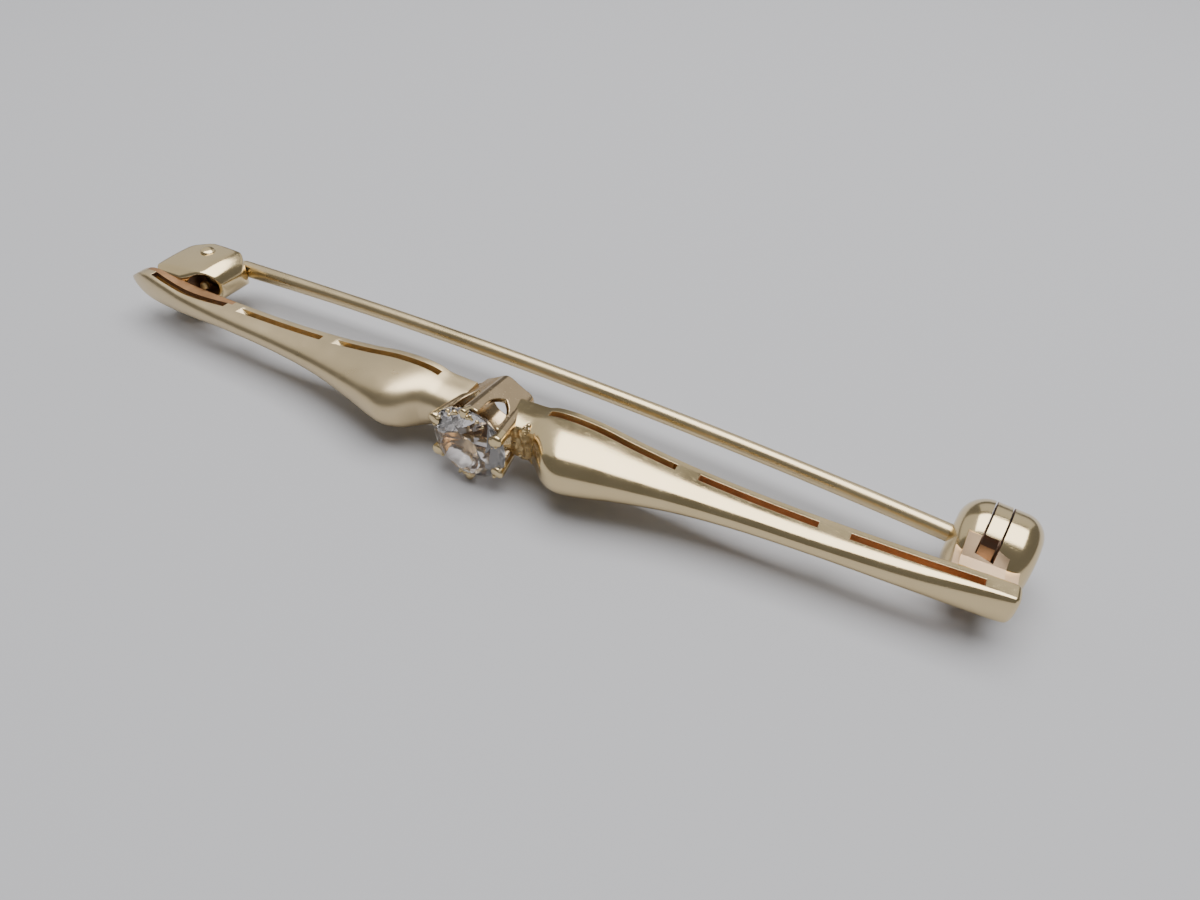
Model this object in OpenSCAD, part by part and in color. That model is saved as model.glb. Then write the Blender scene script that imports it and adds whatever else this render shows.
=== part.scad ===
// Bar brooch lying on its long side: a hollow polished gold bar with a swelling on each side of
// a round faceted rock crystal, a sprung pin on a riveted hinge and a roll-over safety catch.
// The bar runs along X, the stone faces -Y, the pin is at the +Y back, and +Z is the upper side.

/* [Bar] */
// Length of one arm, from the middle of the stone to its tip
arm_len = 29; // [28.5:0.1:31]
// Thickness of the back plate between the slots and the back face
plate_t = 0.42; // [0.36:0.01:0.5]
// Width of the pierced slots, front to back
slot_w = 0.43; // [0.3:0.01:0.5]
// Wall thickness of the hollow arms
wall_t = 0.36; // [0.3:0.01:0.4]
// Bevel along the two back edges of an arm
back_bevel = 0.08; // [0.04:0.01:0.12]

/* [Setting] */
// Distance of the middle of the stone from the middle of the bar
setting_x = 0.15; // [0:0.05:0.2]
// Radius of the hexagonal collet over its corners at the back
collet_back_r = 1.85; // [1.75:0.05:2]
// Radius of the collet over its corners just under the stone
collet_front_r = 2.4; // [2.3:0.05:2.5]
// How far the collet stands out behind the bar
collet_behind = 0.7; // [0.5:0.05:0.9]
// Reach of the claws from the middle of the stone
claw_reach = 2.66; // [2.6:0.01:2.8]
// Radius of the four claws beside the arms
claw_r = 0.32; // [0.28:0.01:0.36]
// Radius of the two claws at the top and bottom corners
ridge_claw_r = 0.25; // [0.2:0.01:0.3]
// Half width of the arched openings between the claws
arch_r = 0.66; // [0.5:0.02:0.75]

/* [Stone] */
// Radius of the stone at its girdle
stone_r = 2.38; // [2.3:0.01:2.42]
// Distance of the girdle in front of the back of the bar
girdle_y = 3.5; // [3.4:0.05:3.6]
// Height of the crown above the girdle
crown_h = 0.78; // [0.6:0.02:0.9]
// Depth of the pavilion below the girdle
pavilion_h = 2.0; // [1.7:0.05:2.1]
// Width of the table as a share of the stone
table_share = 0.56; // [0.5:0.01:0.62]

/* [Pin] */
// Radius of the pin wire
wire_r = 0.5; // [0.45:0.01:0.52]
// Distance of the wire behind the bar where it leaves the hinge
wire_hinge_y = 4.55; // [4.4:0.05:4.6]
// Distance of the wire behind the bar where it enters the catch
wire_catch_y = 3.08; // [3:0.02:3.12]
// How far the middle of the wire bows out behind its two ends
wire_bow = 0.97; // [0.6:0.01:1.1]

/* [Hinge] */
// Distance of the rivet from the middle of the brooch
rivet_x = 25.8; // [25.7:0.05:26]
// Distance of the rivet behind the bar
rivet_y = 2.85; // [2.8:0.05:2.9]
// Radius of the rivet shank
rivet_r = 0.35; // [0.3:0.01:0.38]
// Radius of the round eye of the pin
eye_r = 1.2; // [1.1:0.05:1.2]
// Height of the round eye of the pin
eye_h = 1.3; // [1.1:0.05:1.34]

/* [Catch] */
// Radius of the catch barrel
barrel_r = 2.4; // [2.35:0.01:2.45]
// Length of the catch barrel along the bar
barrel_l = 4.1; // [4:0.05:4.2]
// Distance of the near end of the barrel from the middle of the brooch
barrel_x = 25.35; // [25.2:0.05:25.5]
// Distance of the barrel's axis behind the bar
barrel_y = 2.95; // [2.9:0.05:3]
// Width of the turning ring
ring_w = 0.72; // [0.66:0.02:0.8]
// Half width of the channel that takes the pin
channel_r = 0.72; // [0.68:0.01:0.74]

/* [Hidden] */

gold = "#c9b48c";
crystal = "#dfe6ee";
fine = 64;
eps = 0.01;

// Half of the height of the stone's cylindrical girdle
girdle_t = 0.05;
// Half section of an arm along its length: distance from the stone, half width, depth
arm_rows = [
    [1.50, 1.30, 2.60],
    [2.80, 1.34, 2.60],
    [3.40, 1.42, 2.62],
    [3.90, 1.58, 2.85],
    [4.30, 1.66, 3.25],
    [4.90, 1.71, 3.80],
    [5.80, 1.71, 4.10],
    [7.00, 1.62, 3.88],
    [9.00, 1.29, 3.32],
    [12.0, 0.93, 2.63],
    [15.5, 0.72, 2.18],
    [19.5, 0.66, 1.92],
    [24.0, 0.76, 1.68],
    [27.2, 0.92, 1.38],
    [28.6, 0.93, 1.20]
];
// The front of a section is a curve between an oval (2) and a square
arm_square = 2.6;
// The catch end is cut off square, the hinge end comes to a blunt tip
catch_end = concat(arm_rows, [[arm_len, 0.86, 1.08]]);
hinge_end = concat(arm_rows, [[arm_len + 0.1, 0.78, 0.98], [arm_len + 0.4, 0.45, 0.72]]);
// Slots in each long side of an arm: start and end, from the stone
slot_rows = [[3.7, 11.2], [12.75, 19.25], [20.9, 27.3]];

// The lowest points all lie one claw reach below the axis of the stone
foot = claw_reach;
pin_z = barrel_r - foot;
// Distances of the collet's front rim and of the claw tips in front of the bar's back
collet_front_y = girdle_y - 0.35;
claw_tip_y = girdle_y + 0.42;
// Radius of the round well through the collet, at its back and at its front
well_back_r = 1.18;
well_front_r = 1.92;
// Air between the stone and the metal
stone_air = 0.05;
// Rounding of the two ends of the catch barrel
barrel_near = 1.4;
barrel_far = 1.2;
y_low = -girdle_y - girdle_t - crown_h;

// Chord and arc of the bowed wire between the hinge and the catch
wire_start = [-24.5, wire_hinge_y];
wire_end = [barrel_x + 0.15, wire_catch_y];
wire_chord = norm(wire_end - wire_start);
wire_tilt = atan2(wire_end[1] - wire_start[1], wire_end[0] - wire_start[0]);
wire_arc_r = (wire_chord * wire_chord / 4 + wire_bow * wire_bow) / (2 * wire_bow);
wire_half_angle = asin(wire_chord / 2 / wire_arc_r);
wire_mid = (wire_start + wire_end) / 2;
y_high = wire_mid[1] + (wire_bow - wire_arc_r) * cos(wire_tilt) + wire_arc_r + wire_r;
// The barrel of the catch lies in line with the end of the wire
catch_turn = wire_tilt - wire_half_angle;
x_low = -arm_len - 0.4;
x_high = barrel_x + barrel_l / 2 + (barrel_l / 2 - barrel_far) * cos(catch_turn)
    + (barrel_r - barrel_far) * sin(-catch_turn) + barrel_far;
point_r = wire_r - 0.01;
point_straight = 1.6;
point_taper = 1.5;

// Value of one column at x, on a smooth curve through the rows of a table
function row_slope(rows, i, c) =
    let (a = rows[max(i - 1, 0)], b = rows[min(i + 1, len(rows) - 1)])
    (b[c] - a[c]) / (b[0] - a[0]);
function row_before(rows, x, i = 0) =
    (i >= len(rows) - 2 || x < rows[i + 1][0]) ? i : row_before(rows, x, i + 1);
function curve_at(rows, x, c) =
    let (
        i = row_before(rows, x),
        a = rows[i],
        b = rows[i + 1],
        w = b[0] - a[0],
        t = (x - a[0]) / w,
        rise = row_slope(rows, i, c) * w,
        fall = row_slope(rows, i + 1, c) * w
    )
    a[c] * (1 + 2 * t) * (1 - t) * (1 - t) + rise * t * (1 - t) * (1 - t)
    + b[c] * t * t * (3 - 2 * t) - fall * t * t * (1 - t);

// One closed section: flat back, flat sides as far as the slots and a rounded front, as points
// on [y, z]
function section(half_w, depth, back, bevel, steps) =
    let (side = min(plate_t + slot_w, depth * 0.7), share = 2 / arm_square)
    concat(
        [[-back - bevel, -half_w], [-back, -half_w + bevel]],
        [[-back, half_w - bevel], [-back - bevel, half_w]],
        [for (k = [0:steps])
            let (w = 180 * k / steps)
            [-side - (depth - side) * pow(sin(w), share), half_w * sign(cos(w)) * pow(abs(cos(w)), share)]]
    );

// Solid through a list of equal sections, each a list of points on [x, y, z]
module loft(sections) {
    count = len(sections[0]);
    last = len(sections) - 1;
    sides = [
        for (s = [0:last - 1], k = [0:count - 1], half = [0:1])
            let (a = s * count + k, b = s * count + (k + 1) % count)
            half == 0 ? [a, a + count, b] : [b, a + count, b + count]
    ];
    polyhedron(
        points = [for (s = sections, p = s) p],
        faces = concat(
            [[for (k = [0:count - 1]) k]],
            sides,
            [[for (k = [count - 1:-1:0]) last * count + k]]
        )
    );
}

// Places between the rows of a table, each gap cut into equal parts
function stations(rows, parts) = concat(
    [for (i = [0:len(rows) - 2], k = [0:parts - 1])
        rows[i][0] + (rows[i + 1][0] - rows[i][0]) * k / parts],
    [rows[len(rows) - 1][0]]
);

module arm_skin(rows) {
    loft([
        for (x = stations(rows, 2))
            [for (p = section(curve_at(rows, x, 1), curve_at(rows, x, 2), 0, back_bevel, 16))
                [x, p[0], p[1]]]
    ]);
}

module arm_hollow() {
    loft([
        for (x = [4.6, 5.1, 5.9, 7, 9, 12, 15.5, 19.5, 24, 27.2, 28.2])
            [for (p = section(curve_at(arm_rows, x, 1) - wall_t, curve_at(arm_rows, x, 2) - wall_t,
                    plate_t, 0.03, 10))
                [x, p[0], p[1]]]
    ]);
}

module arm(rows) {
    difference() {
        arm_skin(rows);
        arm_hollow();
        for (s = slot_rows)
            translate([s[0], -plate_t - slot_w, -3])
                cube([s[1] - s[0], slot_w, 6]);
    }
}

module collet_skin() {
    back = [for (k = [0:5]) [collet_back_r * cos(30 + 60 * k), collet_behind,
        collet_back_r * sin(30 + 60 * k)]];
    front = [for (k = [0:5]) [collet_front_r * cos(30 + 60 * k), -collet_front_y,
        collet_front_r * sin(30 + 60 * k)]];
    loft([back, front]);
}

// A claw stands out from its corner by the given height at the back of the collet
module claw(angle, r, proud) {
    claw_l = collet_behind + claw_tip_y;
    lean = atan2(claw_reach - collet_back_r - proud, claw_l);
    rotate([0, -angle, 0])
        translate([claw_reach - r, -claw_tip_y, 0]) {
            rotate([0, 0, lean])
                rotate([-90, 0, 0])
                    cylinder(r = r, h = claw_l, $fn = fine / 2);
            translate([-0.12, 0, 0])
                sphere(r = r + 0.05, $fn = fine / 2);
        }
}

module arch(angle, top_y) {
    rotate([0, -angle, 0])
        translate([0.6, -top_y - arch_r, 0]) {
            rotate([0, 90, 0])
                cylinder(r = arch_r, h = 3, $fn = fine / 2);
            translate([0, -girdle_y, -arch_r])
                cube([3, girdle_y, 2 * arch_r]);
        }
}

// Room that the stone takes, with a little air around it
module stone_room() {
    air = stone_air;
    translate([0, -girdle_y, 0])
        rotate([-90, 0, 0]) {
            translate([0, 0, -girdle_t - eps])
                cylinder(r = stone_r + air, h = 2 * girdle_t + air + eps, $fn = fine);
            translate([0, 0, girdle_t + air])
                cylinder(r1 = stone_r + air, r2 = 0.3, h = pavilion_h * (1 - 0.3 / stone_r), $fn = fine);
            translate([0, 0, -girdle_t - crown_h - air])
                cylinder(r1 = stone_r * table_share + 0.25, r2 = stone_r + air,
                    h = crown_h + air, $fn = fine);
        }
}

module setting() {
    difference() {
        union() {
            difference() {
                collet_skin();
                for (k = [1, 2, 4, 5]) arch(60 * k, 1.2);
                for (k = [0, 3]) arch(60 * k, 2.0);
            }
            for (angle = [30, 150, 210, 330]) claw(angle, claw_r, 0.06);
            for (angle = [90, 270]) claw(angle, ridge_claw_r, -0.08);
        }
        stone_room();
    }
}

module setting_well() {
    translate([0, collet_behind + eps, 0])
        rotate([90, 0, 0])
            cylinder(r1 = well_back_r, r2 = well_front_r, h = collet_behind + collet_front_y, $fn = fine);
}

// Outline with rounded corners, from rows of x, y and the radius of the corner
function outline(rows, steps) = [
    for (i = [0:len(rows) - 1])
        let (
            n = len(rows),
            p = [rows[i][0], rows[i][1]],
            a = [rows[(i + n - 1) % n][0], rows[(i + n - 1) % n][1]],
            b = [rows[(i + 1) % n][0], rows[(i + 1) % n][1]],
            u = (a - p) / norm(a - p),
            v = (b - p) / norm(b - p),
            half = acos(u * v) / 2,
            m = (u + v) / norm(u + v),
            c = p + m * rows[i][2] / sin(half),
            start = p + u * rows[i][2] / tan(half) - c,
            turn = (180 - 2 * half) * sign(cross(v, u))
        )
        for (k = [0:steps])
            let (w = turn * k / steps)
            c + [start[0] * cos(w) - start[1] * sin(w), start[0] * sin(w) + start[1] * cos(w)]
];

// The upper face of the hinge housing slopes down from its inner end to its tail, and its front
// shoulder from there to the brow at the bar
hinge_inner = -22.95;
hinge_tail = -28.4;
hinge_top = 1.6;
tail_top = 1.15;
hinge_brow = 1.1;
hinge_low = 1.8;
hinge_back = 4.3;
slope = (hinge_top - tail_top) / (hinge_inner - hinge_tail);
// The upper rivet head sits on the slope
seat = tail_top + slope * (-rivet_x - hinge_tail);
head_r = 0.5;
head_h = 0.18;
head_gap = 0.02;
// Pocket for the eye of the pin, and the round mouth of the housing next to the bar
pocket_r = eye_r + 0.2;
pocket_h = 2 * channel_r;
mouth_x = -24.2;
mouth_z = 0.38;
mouth_r = 0.92;
// Plan of the hinge housing on x and y, with the radius of each corner
hinge_plan = [
    [-27.6, -0.05, 0.02], [-25.5, -0.05, 0.02], [-23.0, 1.15, 0.4], [hinge_inner, hinge_back, 2],
    [-26.2, hinge_back, 1.8], [-28.35, 2.4, 1.4], [-28.35, 0.8, 0.6]
];
// Outline of the hinge housing seen along y, on x and z
hinge_face = [
    [hinge_tail, -hinge_low, 0.9], [-25, -hinge_low, 0.8], [hinge_inner, -0.85, 1.15],
    [hinge_inner, hinge_top, 1.25], [hinge_tail, tail_top, 0.5]
];

// Outline of the hinge housing seen along x, on y and z
hinge_side = [
    [-0.05, -hinge_low, 0.3], [hinge_back, -hinge_low, 2.0], [hinge_back, 1.7, 0.8], [0.9, 1.7, 1],
    [-0.05, hinge_brow, 0.05]
];

module hinge_housing() {
    difference() {
        intersection() {
            translate([-30, 0, 0])
                rotate([90, 0, 90])
                    linear_extrude(8)
                        polygon(outline(hinge_side, 5));
            translate([0, 0, -hinge_low - 1])
                linear_extrude(hinge_low + hinge_top + 2)
                    polygon(outline(hinge_plan, 5));
            translate([0, 6, 0])
                rotate([90, 0, 0])
                    linear_extrude(8)
                        polygon(outline(hinge_face, 5));
        }
        // The pocket is open to the back, with a notch for the wire beside it
        translate([-rivet_x, rivet_y, pin_z - channel_r]) {
            cylinder(r = pocket_r, h = pocket_h, $fn = fine);
            translate([-pocket_r, 0, 0])
                cube([pocket_r + 1.9, 3, pocket_h]);
        }
        translate([wire_start[0], wire_hinge_y - wire_r - 0.2, pin_z - channel_r])
            cube([3, 3, pocket_h]);
        translate([mouth_x, rivet_y - 0.6, mouth_z])
            rotate([90, 0, 0])
                cylinder(r = mouth_r, h = 3, $fn = fine);
        translate([-rivet_x, rivet_y, -4])
            cylinder(r = rivet_r + 0.03, h = 8, $fn = fine);
    }
}

module barrel_axis() {
    translate([barrel_x + barrel_l / 2, barrel_y, pin_z])
        rotate([0, 0, catch_turn])
            translate([-barrel_l / 2, 0, 0])
                rotate([90, 0, 90])
                    children();
}

// Middle of the ring along the barrel, its round bearings and the thumb notch in its rim
ring_x = 1.85;
ring_gap = 0.06;
bearing_r = 1.16;
bearing_l = 0.45;
notch_angle = 138;
notch_w = 1.1;

module barrel_skin() {
    rotate_extrude($fn = fine * 2)
        intersection() {
            square([barrel_r, barrel_l]);
            union() {
                square([barrel_r - barrel_near, barrel_l]);
                translate([0, barrel_near])
                    square([barrel_r, barrel_l - barrel_near - barrel_far]);
                translate([barrel_r - barrel_near, barrel_near])
                    circle(r = barrel_near, $fn = fine);
                translate([barrel_r - barrel_far, barrel_l - barrel_far])
                    circle(r = barrel_far, $fn = fine);
            }
        }
}

// Section of the flat sided pedestal that carries the barrel, on y and z
pedestal = [
    [-0.05, -1.1], [0.6, -1.15], [1.5, -2.0], [2.2, -1.9],
    [2.2, 1.4], [1.55, 1.68], [0.6, 0.94], [-0.05, 0.9]
];

module catch_housing() {
    difference() {
        union() {
            barrel_axis() barrel_skin();
            translate([barrel_x + 0.6, 0, 0])
                rotate([90, 0, 90])
                    linear_extrude(2.1)
                        polygon(pedestal);
            translate([barrel_x + 0.3, -0.05, -0.8])
                cube([3.05, 1.4, 1.6]);
        }
        barrel_axis() {
            // Groove for the ring, with its bearing on each side
            translate([0, 0, ring_x])
                cylinder(r = barrel_r + 0.06, h = ring_w + 2 * ring_gap, center = true, $fn = fine * 2);
            translate([0, 0, ring_x])
                cylinder(r = bearing_r + 0.08, h = ring_w + 2 * bearing_l + 0.2, center = true,
                    $fn = fine);
            // Channel for the pin, open to the back
            translate([0, 0, -1])
                cylinder(r = channel_r, h = barrel_l + 0.35, $fn = fine);
            translate([0, -channel_r, -1])
                cube([4, 2 * channel_r, barrel_l + 0.35]);
        }
    }
}

module gold_bar() {
    color(gold)
        difference() {
            union() {
                arm(catch_end);
                mirror([1, 0, 0]) arm(hinge_end);
                translate([setting_x, 0, 0]) setting();
                hinge_housing();
                catch_housing();
            }
            translate([setting_x, 0, 0]) setting_well();
        }
}

// Faceted round stone: table, star, kite and girdle facets above, long facets below
module stone() {
    table_r = stone_r * table_share;
    star_share = 0.8;
    low_share = 0.34;
    mid_y = crown_h * (1 - (star_share * cos(22.5) - table_share) / (1 - table_share));
    low_y = pavilion_h * (1 - low_share * cos(22.5));
    function rim(n, r, y, shift) =
        [for (k = [0:n - 1]) [r * cos(360 * (k + shift) / n), y, r * sin(360 * (k + shift) / n)]];
    points = concat(
        rim(8, table_r, -girdle_t - crown_h, 0),
        rim(8, stone_r * star_share, -girdle_t - mid_y, 0.5),
        rim(16, stone_r, -girdle_t, 0),
        rim(16, stone_r, girdle_t, 0),
        rim(8, stone_r * low_share, girdle_t + low_y, 0.5),
        [[0, girdle_t + pavilion_h, 0]]
    );
    faces = concat(
        [[for (k = [7:-1:0]) k]],
        [for (k = [0:7]) [k, (k + 1) % 8, 8 + k]],
        [for (k = [0:7]) [k, 8 + k, 16 + 2 * k]],
        [for (k = [0:7]) [k, 16 + 2 * k, 8 + (k + 7) % 8]],
        [for (k = [0:7]) [8 + k, 17 + 2 * k, 16 + 2 * k]],
        [for (k = [0:7]) [8 + k, 16 + (2 * k + 2) % 16, 17 + 2 * k]],
        [for (k = [0:15]) [16 + k, 16 + (k + 1) % 16, 32 + k]],
        [for (k = [0:15]) [16 + (k + 1) % 16, 32 + (k + 1) % 16, 32 + k]],
        [for (k = [0:7]) [48 + k, 32 + 2 * k, 33 + 2 * k]],
        [for (k = [0:7]) [48 + k, 33 + 2 * k, 32 + (2 * k + 2) % 16]],
        [for (k = [0:7]) [56, 48 + k, 48 + (k + 1) % 8]],
        [for (k = [0:7]) [48 + k, 32 + (2 * k + 2) % 16, 48 + (k + 1) % 8]]
    );
    color(crystal)
        translate([setting_x, -girdle_y, 0])
            polyhedron(points = points, faces = faces);
}

module wire_arc() {
    translate([wire_mid[0], wire_mid[1], pin_z])
        rotate([0, 0, wire_tilt])
            translate([0, wire_bow - wire_arc_r, 0])
                rotate([0, 0, 90 - wire_half_angle])
                    rotate_extrude(angle = 2 * wire_half_angle, $fn = 720)
                        translate([wire_arc_r, 0])
                            circle(r = wire_r, $fn = 24);
}

module wire_point() {
    translate([wire_end[0], wire_end[1], pin_z])
        rotate([0, 0, catch_turn])
            rotate([0, 90, 0]) {
                translate([0, 0, -0.3])
                    cylinder(r = point_r, h = point_straight + 0.3, $fn = 24);
                translate([0, 0, point_straight])
                    cylinder(r1 = point_r, r2 = 0.12, h = point_taper, $fn = 24);
            }
}

module pin_stem() {
    color(gold)
        difference() {
            union() {
                wire_arc();
                wire_point();
                hull() {
                    translate([-rivet_x, rivet_y, pin_z - eye_h / 2])
                        cylinder(r = eye_r, h = eye_h, $fn = 32);
                    translate([wire_start[0], wire_start[1], pin_z])
                        sphere(r = wire_r + 0.08, $fn = 24);
                }
            }
            translate([-rivet_x, rivet_y, -4])
                cylinder(r = rivet_r + 0.07, h = 8, $fn = fine);
        }
}

module rivet_head() {
    cylinder(r1 = head_r, r2 = head_r * 0.6, h = head_h, $fn = fine);
}

module hinge_rivet() {
    color(gold)
        translate([-rivet_x, rivet_y, 0]) {
            translate([0, 0, -hinge_low - head_gap])
                cylinder(r = rivet_r, h = hinge_low + seat + 2 * head_gap + 0.05, $fn = fine);
            translate([0, 0, seat + head_gap])
                rotate([0, -atan(slope), 0])
                    rivet_head();
            translate([0, 0, -hinge_low - head_gap])
                mirror([0, 0, 1]) rivet_head();
        }
}

module catch_ring() {
    color(gold)
        barrel_axis()
            translate([0, 0, ring_x])
                difference() {
                    union() {
                        cylinder(r = barrel_r, h = ring_w, center = true, $fn = fine * 2);
                        cylinder(r = bearing_r, h = ring_w + 2 * bearing_l, center = true,
                            $fn = fine);
                    }
                    cylinder(r = channel_r, h = 4, center = true, $fn = fine);
                    translate([0, -channel_r, -2])
                        cube([4, 2 * channel_r, 4]);
                    rotate([0, 0, notch_angle])
                        translate([1.55, -notch_w / 2, -2])
                            cube([2, notch_w, 4]);
                }
}

// Puts the middle of the outer box over the origin, with the lowest points at zero
module place() {
    translate([-(x_low + x_high) / 2, -(y_low + y_high) / 2, foot])
        children();
}

place() gold_bar();
place() stone();
place() pin_stem();
place() hinge_rivet();
place() catch_ring();
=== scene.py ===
import bpy
import bmesh
from math import acos, asin, atan2, copysign, cos, degrees, dist, hypot, pi, radians, sin, sqrt, tan, tau
from mathutils import Matrix, Vector, noise


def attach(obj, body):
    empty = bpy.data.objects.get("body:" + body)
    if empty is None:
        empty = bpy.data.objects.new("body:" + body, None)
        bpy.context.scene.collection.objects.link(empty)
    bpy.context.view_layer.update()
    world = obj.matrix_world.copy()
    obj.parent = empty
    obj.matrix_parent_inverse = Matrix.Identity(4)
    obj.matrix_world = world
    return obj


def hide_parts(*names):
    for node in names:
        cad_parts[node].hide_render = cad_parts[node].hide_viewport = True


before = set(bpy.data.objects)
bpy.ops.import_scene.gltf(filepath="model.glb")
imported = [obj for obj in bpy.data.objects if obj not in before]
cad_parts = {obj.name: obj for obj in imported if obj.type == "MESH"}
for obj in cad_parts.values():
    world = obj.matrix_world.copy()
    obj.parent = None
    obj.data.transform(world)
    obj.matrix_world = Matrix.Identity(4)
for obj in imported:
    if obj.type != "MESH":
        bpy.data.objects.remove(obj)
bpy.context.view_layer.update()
scene = bpy.context.scene

# Pieces are modelled in mm on the bar's own axes (bar along X, its back at Y 0, stone towards -Y),
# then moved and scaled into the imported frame
mm = 0.001
barOrigin = (-0.0866, -0.5470, 2.66)
move = Matrix.Translation
barToFrame = Matrix.Scale(mm, 4) @ move(barOrigin)


# Mesh helpers

weldReach = 1e-5


def addObject(name, data):
    obj = bpy.data.objects.new(name, data)
    scene.collection.objects.link(obj)
    return obj


# Joins points that coincide, then turns the faces outwards or, after a cut, clears its slivers
def weld(mesh, isCut=False):
    work = bmesh.new()
    work.from_mesh(mesh)
    bmesh.ops.remove_doubles(work, verts=work.verts, dist=weldReach)
    if isCut:
        bmesh.ops.dissolve_degenerate(work, edges=work.edges, dist=weldReach)
    else:
        bmesh.ops.recalc_face_normals(work, faces=work.faces)
    work.to_mesh(mesh)
    work.free()


def addMesh(name, points, faces, edges=(), isWelded=True):
    mesh = bpy.data.meshes.new(name)
    mesh.from_pydata([tuple(p) for p in points], list(edges), faces)
    mesh.update()
    if faces and isWelded:
        weld(mesh)
    return addObject(name, mesh)


def bake(obj):
    evaluated = obj.evaluated_get(bpy.context.evaluated_depsgraph_get())
    mesh = bpy.data.meshes.new_from_object(evaluated)
    obj.modifiers.clear()
    obj.data = mesh
    return obj


def combine(obj, tool, how="DIFFERENCE"):
    cut = obj.modifiers.new("cut", "BOOLEAN")
    cut.operation = how
    cut.solver = "EXACT"
    cut.object = tool
    bake(obj)
    bpy.data.objects.remove(tool)
    weld(obj.data, isCut=True)
    return obj


def gather(name, parts):
    points, faces = [], []
    for part in parts:
        first = len(points)
        points += [v.co.copy() for v in part.data.vertices]
        faces += [[first + i for i in p.vertices] for p in part.data.polygons]
        bpy.data.objects.remove(part)
    return addMesh(name, points, faces, isWelded=False)


# Melts overlapping solids into one skin and rounds its edges, as the polishing wheel does
def polish(obj, grain, passes):
    melt = obj.modifiers.new("melt", "REMESH")
    melt.mode = "VOXEL"
    melt.voxel_size = grain
    soften = obj.modifiers.new("soften", "SMOOTH")
    soften.factor = 0.5
    soften.iterations = passes
    return bake(obj)


def circle(r, steps):
    return [(r * cos(tau * k / steps), r * sin(tau * k / steps)) for k in range(steps)]


# Turns a profile of radius and height round the local Z
def lathe(name, profile, steps, place):
    points, faces, rings = [], [], []
    for r, z in profile:
        if r < 1e-6:
            rings.append([len(points)] * steps)
            points.append(place @ Vector((0, 0, z)))
        else:
            rings.append([len(points) + k for k in range(steps)])
            points += [place @ Vector((x, y, z)) for x, y in circle(r, steps)]
    for low, high in zip(rings, rings[1:]):
        for k in range(steps):
            n = (k + 1) % steps
            corners = [low[k], low[n], high[n], high[k]]
            faces.append(list(dict.fromkeys(corners)))
    return addMesh(name, points, [f for f in faces if len(f) > 2])


def rod(name, r, low, high, steps, place):
    return lathe(name, [(0, low), (r, low), (r, high), (0, high)], steps, place)


def ball(name, r, at, rows=8, steps=12):
    profile = [(r * sin(pi * j / rows), -r * cos(pi * j / rows)) for j in range(rows + 1)]
    return lathe(name, profile, steps, move(at))


def prism(name, outline, low, high, place):
    n = len(outline)
    points = [place @ Vector((a, b, c)) for c in (low, high) for a, b in outline]
    faces = [[k, (k + 1) % n, n + (k + 1) % n, n + k] for k in range(n)]
    return addMesh(name, points, faces + [list(range(n))[::-1], list(range(n, 2 * n))])


def block(name, low, high, place=Matrix.Identity(4)):
    x, y = (low[0], high[0]), (low[1], high[1])
    return prism(name, [(x[0], y[0]), (x[1], y[0]), (x[1], y[1]), (x[0], y[1])], low[2], high[2], place)


# Outline with rounded corners, from rows of x, y and the radius of the corner
def roundedOutline(rows, steps=8):
    points = []
    for i, (x, y, r) in enumerate(rows):
        p = Vector((x, y))
        u = (Vector(rows[i - 1][:2]) - p).normalized()
        v = (Vector(rows[(i + 1) % len(rows)][:2]) - p).normalized()
        half = acos(max(-1, min(1, u.dot(v)))) / 2
        centre = p + (u + v).normalized() * r / sin(half)
        start = p + u * r / tan(half) - centre
        turn = (pi - 2 * half) * copysign(1, v.x * u.y - v.y * u.x)
        for k in range(steps + 1):
            w = turn * k / steps
            points.append((centre.x + start.x * cos(w) - start.y * sin(w),
                           centre.y + start.x * sin(w) + start.y * cos(w)))
    return points


# Matrix that sends the local axes to these directions
def swap(x, y, z):
    return Matrix((x, y, z)).transposed().to_4x4()


onYZ = swap((0, 1, 0), (0, 0, 1), (1, 0, 0))       # drawn on y and z, raised along x
onXZ = swap((1, 0, 0), (0, 0, 1), (0, -1, 0))      # drawn on x and z, raised along -y
onXY = Matrix.Identity(4)


# Node helpers

def startGroup(name, kind, inputs, outputs):
    tree = bpy.data.node_groups.new(name, kind)
    for way, rows in (("INPUT", inputs), ("OUTPUT", outputs)):
        for label, value in rows:
            tree.interface.new_socket(label, in_out=way, socket_type="NodeSocket" + value)
    return tree, put(tree, "NodeGroupInput")


def floats(*labels):
    return [(label, "Float") for label in labels]


def put(tree, kind, links=(), **values):
    node = tree.nodes.new(kind)
    node.location = (180 * len(tree.nodes), 0)
    for key, value in values.items():
        setattr(node, key, value)
    for socket, source in links:
        if isinstance(source, bpy.types.NodeSocket):
            tree.links.new(source, node.inputs[socket])
        else:
            node.inputs[socket].default_value = source
    return node


# The first output of a new node
def flow(tree, kind, links=(), **values):
    return put(tree, kind, links, **values).outputs[0]


def compute(tree, operation, *values):
    return flow(tree, "ShaderNodeMath", enumerate(values), operation=operation)


def vector(tree, **parts):
    return flow(tree, "ShaderNodeCombineXYZ", parts.items())


# Spreads a band of values over another
def remap(tree, value, band, spread=(0.0, 1.0)):
    ends = {"From Min": band[0], "From Max": band[1], "To Min": spread[0], "To Max": spread[1]}
    return flow(tree, "ShaderNodeMapRange", {"Value": value, **ends}.items())


def cloudNoise(tree, where, size, detail, roughness=0.5):
    values = {"Vector": where, "Scale": size, "Detail": detail, "Roughness": roughness}
    return put(tree, "ShaderNodeTexNoise", values.items()).outputs["Fac"]


def startTree(name, inputs):
    geometry = [("Geometry", "Geometry")]
    return startGroup(name, "GeometryNodeTree", geometry + inputs, geometry)


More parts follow.
